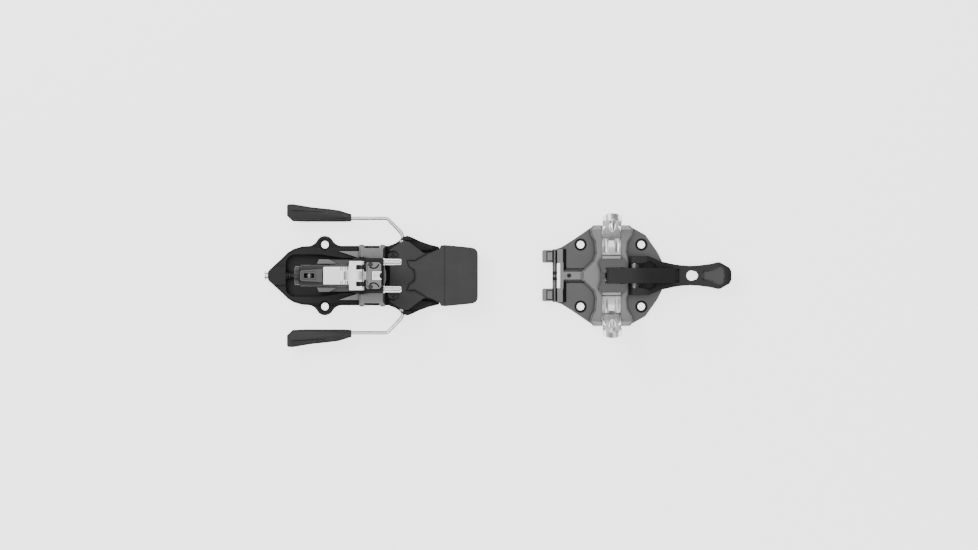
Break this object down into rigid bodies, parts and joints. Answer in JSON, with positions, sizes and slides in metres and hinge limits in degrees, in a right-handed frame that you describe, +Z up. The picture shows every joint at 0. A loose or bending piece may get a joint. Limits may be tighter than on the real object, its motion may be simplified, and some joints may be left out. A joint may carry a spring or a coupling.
{
  "type": "ski touring binding",
  "caption": "Ski touring binding in two units: a toe unit with pin jaws and a lever, and a heel unit with pins on a turning turret, a climbing flap and a brake.",
  "frame": {"origin": "centre of the toe unit's four screws, on the top of the ski", "axes": "+X forwards along the ski, +Y to the skier's left, +Z up from the ski"},
  "size_m": [0.391, 0.1196, 0.061],
  "materials": {
    "anodised_grey": "bead-blasted grey anodised aluminium",
    "anodised_dark": "dark grey anodised aluminium",
    "black_alloy": "black anodised aluminium",
    "lever_black": "satin black fibre-filled polymer",
    "pad_charcoal": "satin charcoal polymer",
    "tip_charcoal": "satin charcoal polymer, slightly grained",
    "silver_alloy": "bright forged aluminium, tumbled",
    "steel": "hardened steel, ground",
    "dark_steel": "black oxide steel",
    "brass": "machined brass",
    "black_rubber": "matt rubber",
    "black_polymer": "matt black polymer"
  },
  "bodies": {
    "base": {"toe_plate": "anodised_grey", "toe_cover": "anodised_dark", "toe_cover_screws": "dark_steel", "wing_axle_left": "steel", "wing_axle_right": "steel", "toe_springs": "steel", "spring_block": "black_polymer", "lever_axle": "steel", "crampon_bar": "anodised_grey", "crampon_bar_rings": "black_rubber", "rib_set_screw": "dark_steel", "heel_base": "black_alloy", "length_screw_bush": "black_polymer", "brake_frame": "black_polymer", "brake_frame_screws": "dark_steel", "brake_hinge_pin": "steel", "brake_springs": "steel"},
    "toe_wing_left": {"toe_wing_left": "silver_alloy", "toe_pin_left": "steel"},
    "toe_wing_right": {"toe_wing_right": "silver_alloy", "toe_pin_right": "steel"},
    "toe_lever": {"toe_lever": "lever_black"},
    "carriage": {"carriage": "anodised_grey", "carriage_nut": "brass", "carriage_inserts": "black_polymer", "turret_post": "steel", "turret_circlip": "dark_steel", "release_cam": "dark_steel"},
    "length_screw": {"length_screw": "dark_steel", "length_screw_head": "steel"},
    "turret": {"turret_body": "black_alloy", "turret_front_plate": "anodised_grey", "turret_cover": "anodised_dark", "lateral_cradle": "silver_alloy", "lateral_release_spring": "steel", "pin_arm_pivots": "dark_steel", "vertical_release_spring": "steel", "flap_axle": "steel"},
    "lateral_adjuster": {"lateral_adjuster": "steel"},
    "lateral_plunger": {"lateral_release_plunger": "steel"},
    "heel_pin_left": {"pin_arm_left": "black_alloy", "heel_pin_left": "steel"},
    "heel_pin_right": {"pin_arm_right": "black_alloy", "heel_pin_right": "steel"},
    "vertical_adjuster": {"vertical_adjuster": "dark_steel"},
    "release_indicator": {"release_indicator": "anodised_grey"},
    "release_plunger": {"vertical_release_plunger": "steel"},
    "climbing_flap": {"climbing_flap": "silver_alloy", "flap_magnet": "dark_steel"},
    "brake_pad": {"brake_pad_plate": "pad_charcoal", "brake_pad_cap": "pad_charcoal", "brake_pad_screws": "dark_steel"},
    "brake_arms": {"brake_wire_left": "steel", "brake_wire_right": "steel", "brake_tip_left": "tip_charcoal", "brake_tip_right": "tip_charcoal"}
  },
  "joints": [
    {"name": "toe_lever_lift", "type": "hinge", "parent": "base", "child": "toe_lever", "pos_m": [0.019, 0, 0.018], "axis": [0, -1, 0], "range_deg": [0, 30]},
    {"name": "toe_wing_left_close", "type": "hinge", "parent": "base", "child": "toe_wing_left", "pos_m": [0, 0.035, 0.014], "axis": [1, 0, 0], "range_deg": [0, 22], "deforming": ["toe_springs"]},
    {"name": "toe_wing_right_close", "type": "hinge", "parent": "base", "child": "toe_wing_right", "pos_m": [0, -0.035, 0.014], "axis": [-1, 0, 0], "range_deg": [0, 22]},
    {"name": "carriage_slide", "type": "slide", "parent": "base", "child": "carriage", "axis": [1, 0, 0], "range_m": [-0.024, 0]},
    {"name": "length_screw_turn", "type": "hinge", "parent": "base", "child": "length_screw", "pos_m": [-0.288, 0, 0.007], "axis": [1, 0, 0], "range_deg": [-5760, 0]},
    {"name": "turret_turn", "type": "hinge", "parent": "carriage", "child": "turret", "pos_m": [-0.2085, 0, 0.03], "axis": [0, 0, 1], "range_deg": [-90, 90]},
    {"name": "lateral_adjuster_turn", "type": "hinge", "parent": "turret", "child": "lateral_adjuster", "pos_m": [-0.1948, 0, 0.052], "axis": [0, 0, 1], "range_deg": [-720, 720]},
    {"name": "lateral_plunger_lift", "type": "slide", "parent": "turret", "child": "lateral_plunger", "axis": [0, 0, 1], "range_m": [0, 0.0012], "stiffness_N_per_m": 2000, "deforming": ["lateral_release_spring"]},
    {"name": "heel_pin_left_spread", "type": "hinge", "parent": "turret", "child": "heel_pin_left", "pos_m": [-0.2, 0.0092, 0.046], "axis": [0, 0, 1], "range_deg": [0, 8]},
    {"name": "heel_pin_right_spread", "type": "hinge", "parent": "turret", "child": "heel_pin_right", "pos_m": [-0.2, -0.0092, 0.046], "axis": [0, 0, -1], "range_deg": [0, 8]},
    {"name": "release_plunger_push", "type": "slide", "parent": "turret", "child": "release_plunger", "axis": [-1, 0, 0], "range_m": [0, 0.0012], "deforming": ["vertical_release_spring"]},
    {"name": "vertical_adjuster_turn", "type": "hinge", "parent": "turret", "child": "vertical_adjuster", "pos_m": [-0.26, 0, 0.046], "axis": [1, 0, 0], "range_deg": [-360, 720]},
    {"name": "release_indicator_slide", "type": "slide", "parent": "turret", "child": "release_indicator", "axis": [1, 0, 0], "range_m": [-0.00125, 0.0025]},
    {"name": "climbing_flap_flip", "type": "hinge", "parent": "turret", "child": "climbing_flap", "pos_m": [-0.2074, 0, 0.058], "axis": [0, 1, 0], "range_deg": [0, 180]},
    {"name": "brake_pad_rise", "type": "hinge", "parent": "base", "child": "brake_pad", "pos_m": [-0.181, 0, 0.009], "axis": [0, -1, 0], "range_deg": [0, 34]},
    {"name": "brake_arms_swing", "type": "hinge", "parent": "base", "child": "brake_arms", "pos_m": [-0.1747, 0, 0.012], "axis": [0, -1, 0], "range_deg": [0, 52]}
  ],
  "couplings": [
    {"joint": "toe_wing_left_close", "follows": "toe_lever_lift", "ratio": 0.73333},
    {"joint": "toe_wing_right_close", "follows": "toe_lever_lift", "ratio": 0.73333},
    {"joint": "length_screw_turn", "follows": "carriage_slide", "rad_per_m": 4188.8},
    {"joint": "heel_pin_right_spread", "follows": "heel_pin_left_spread", "ratio": 1},
    {"joint": "release_plunger_push", "follows": "heel_pin_left_spread", "m_per_rad": 0.008593},
    {"joint": "release_indicator_slide", "follows": "vertical_adjuster_turn", "m_per_rad": 0.00019894},
    {"joint": "brake_arms_swing", "follows": "brake_pad_rise", "ratio": 1.5294}
  ]
}
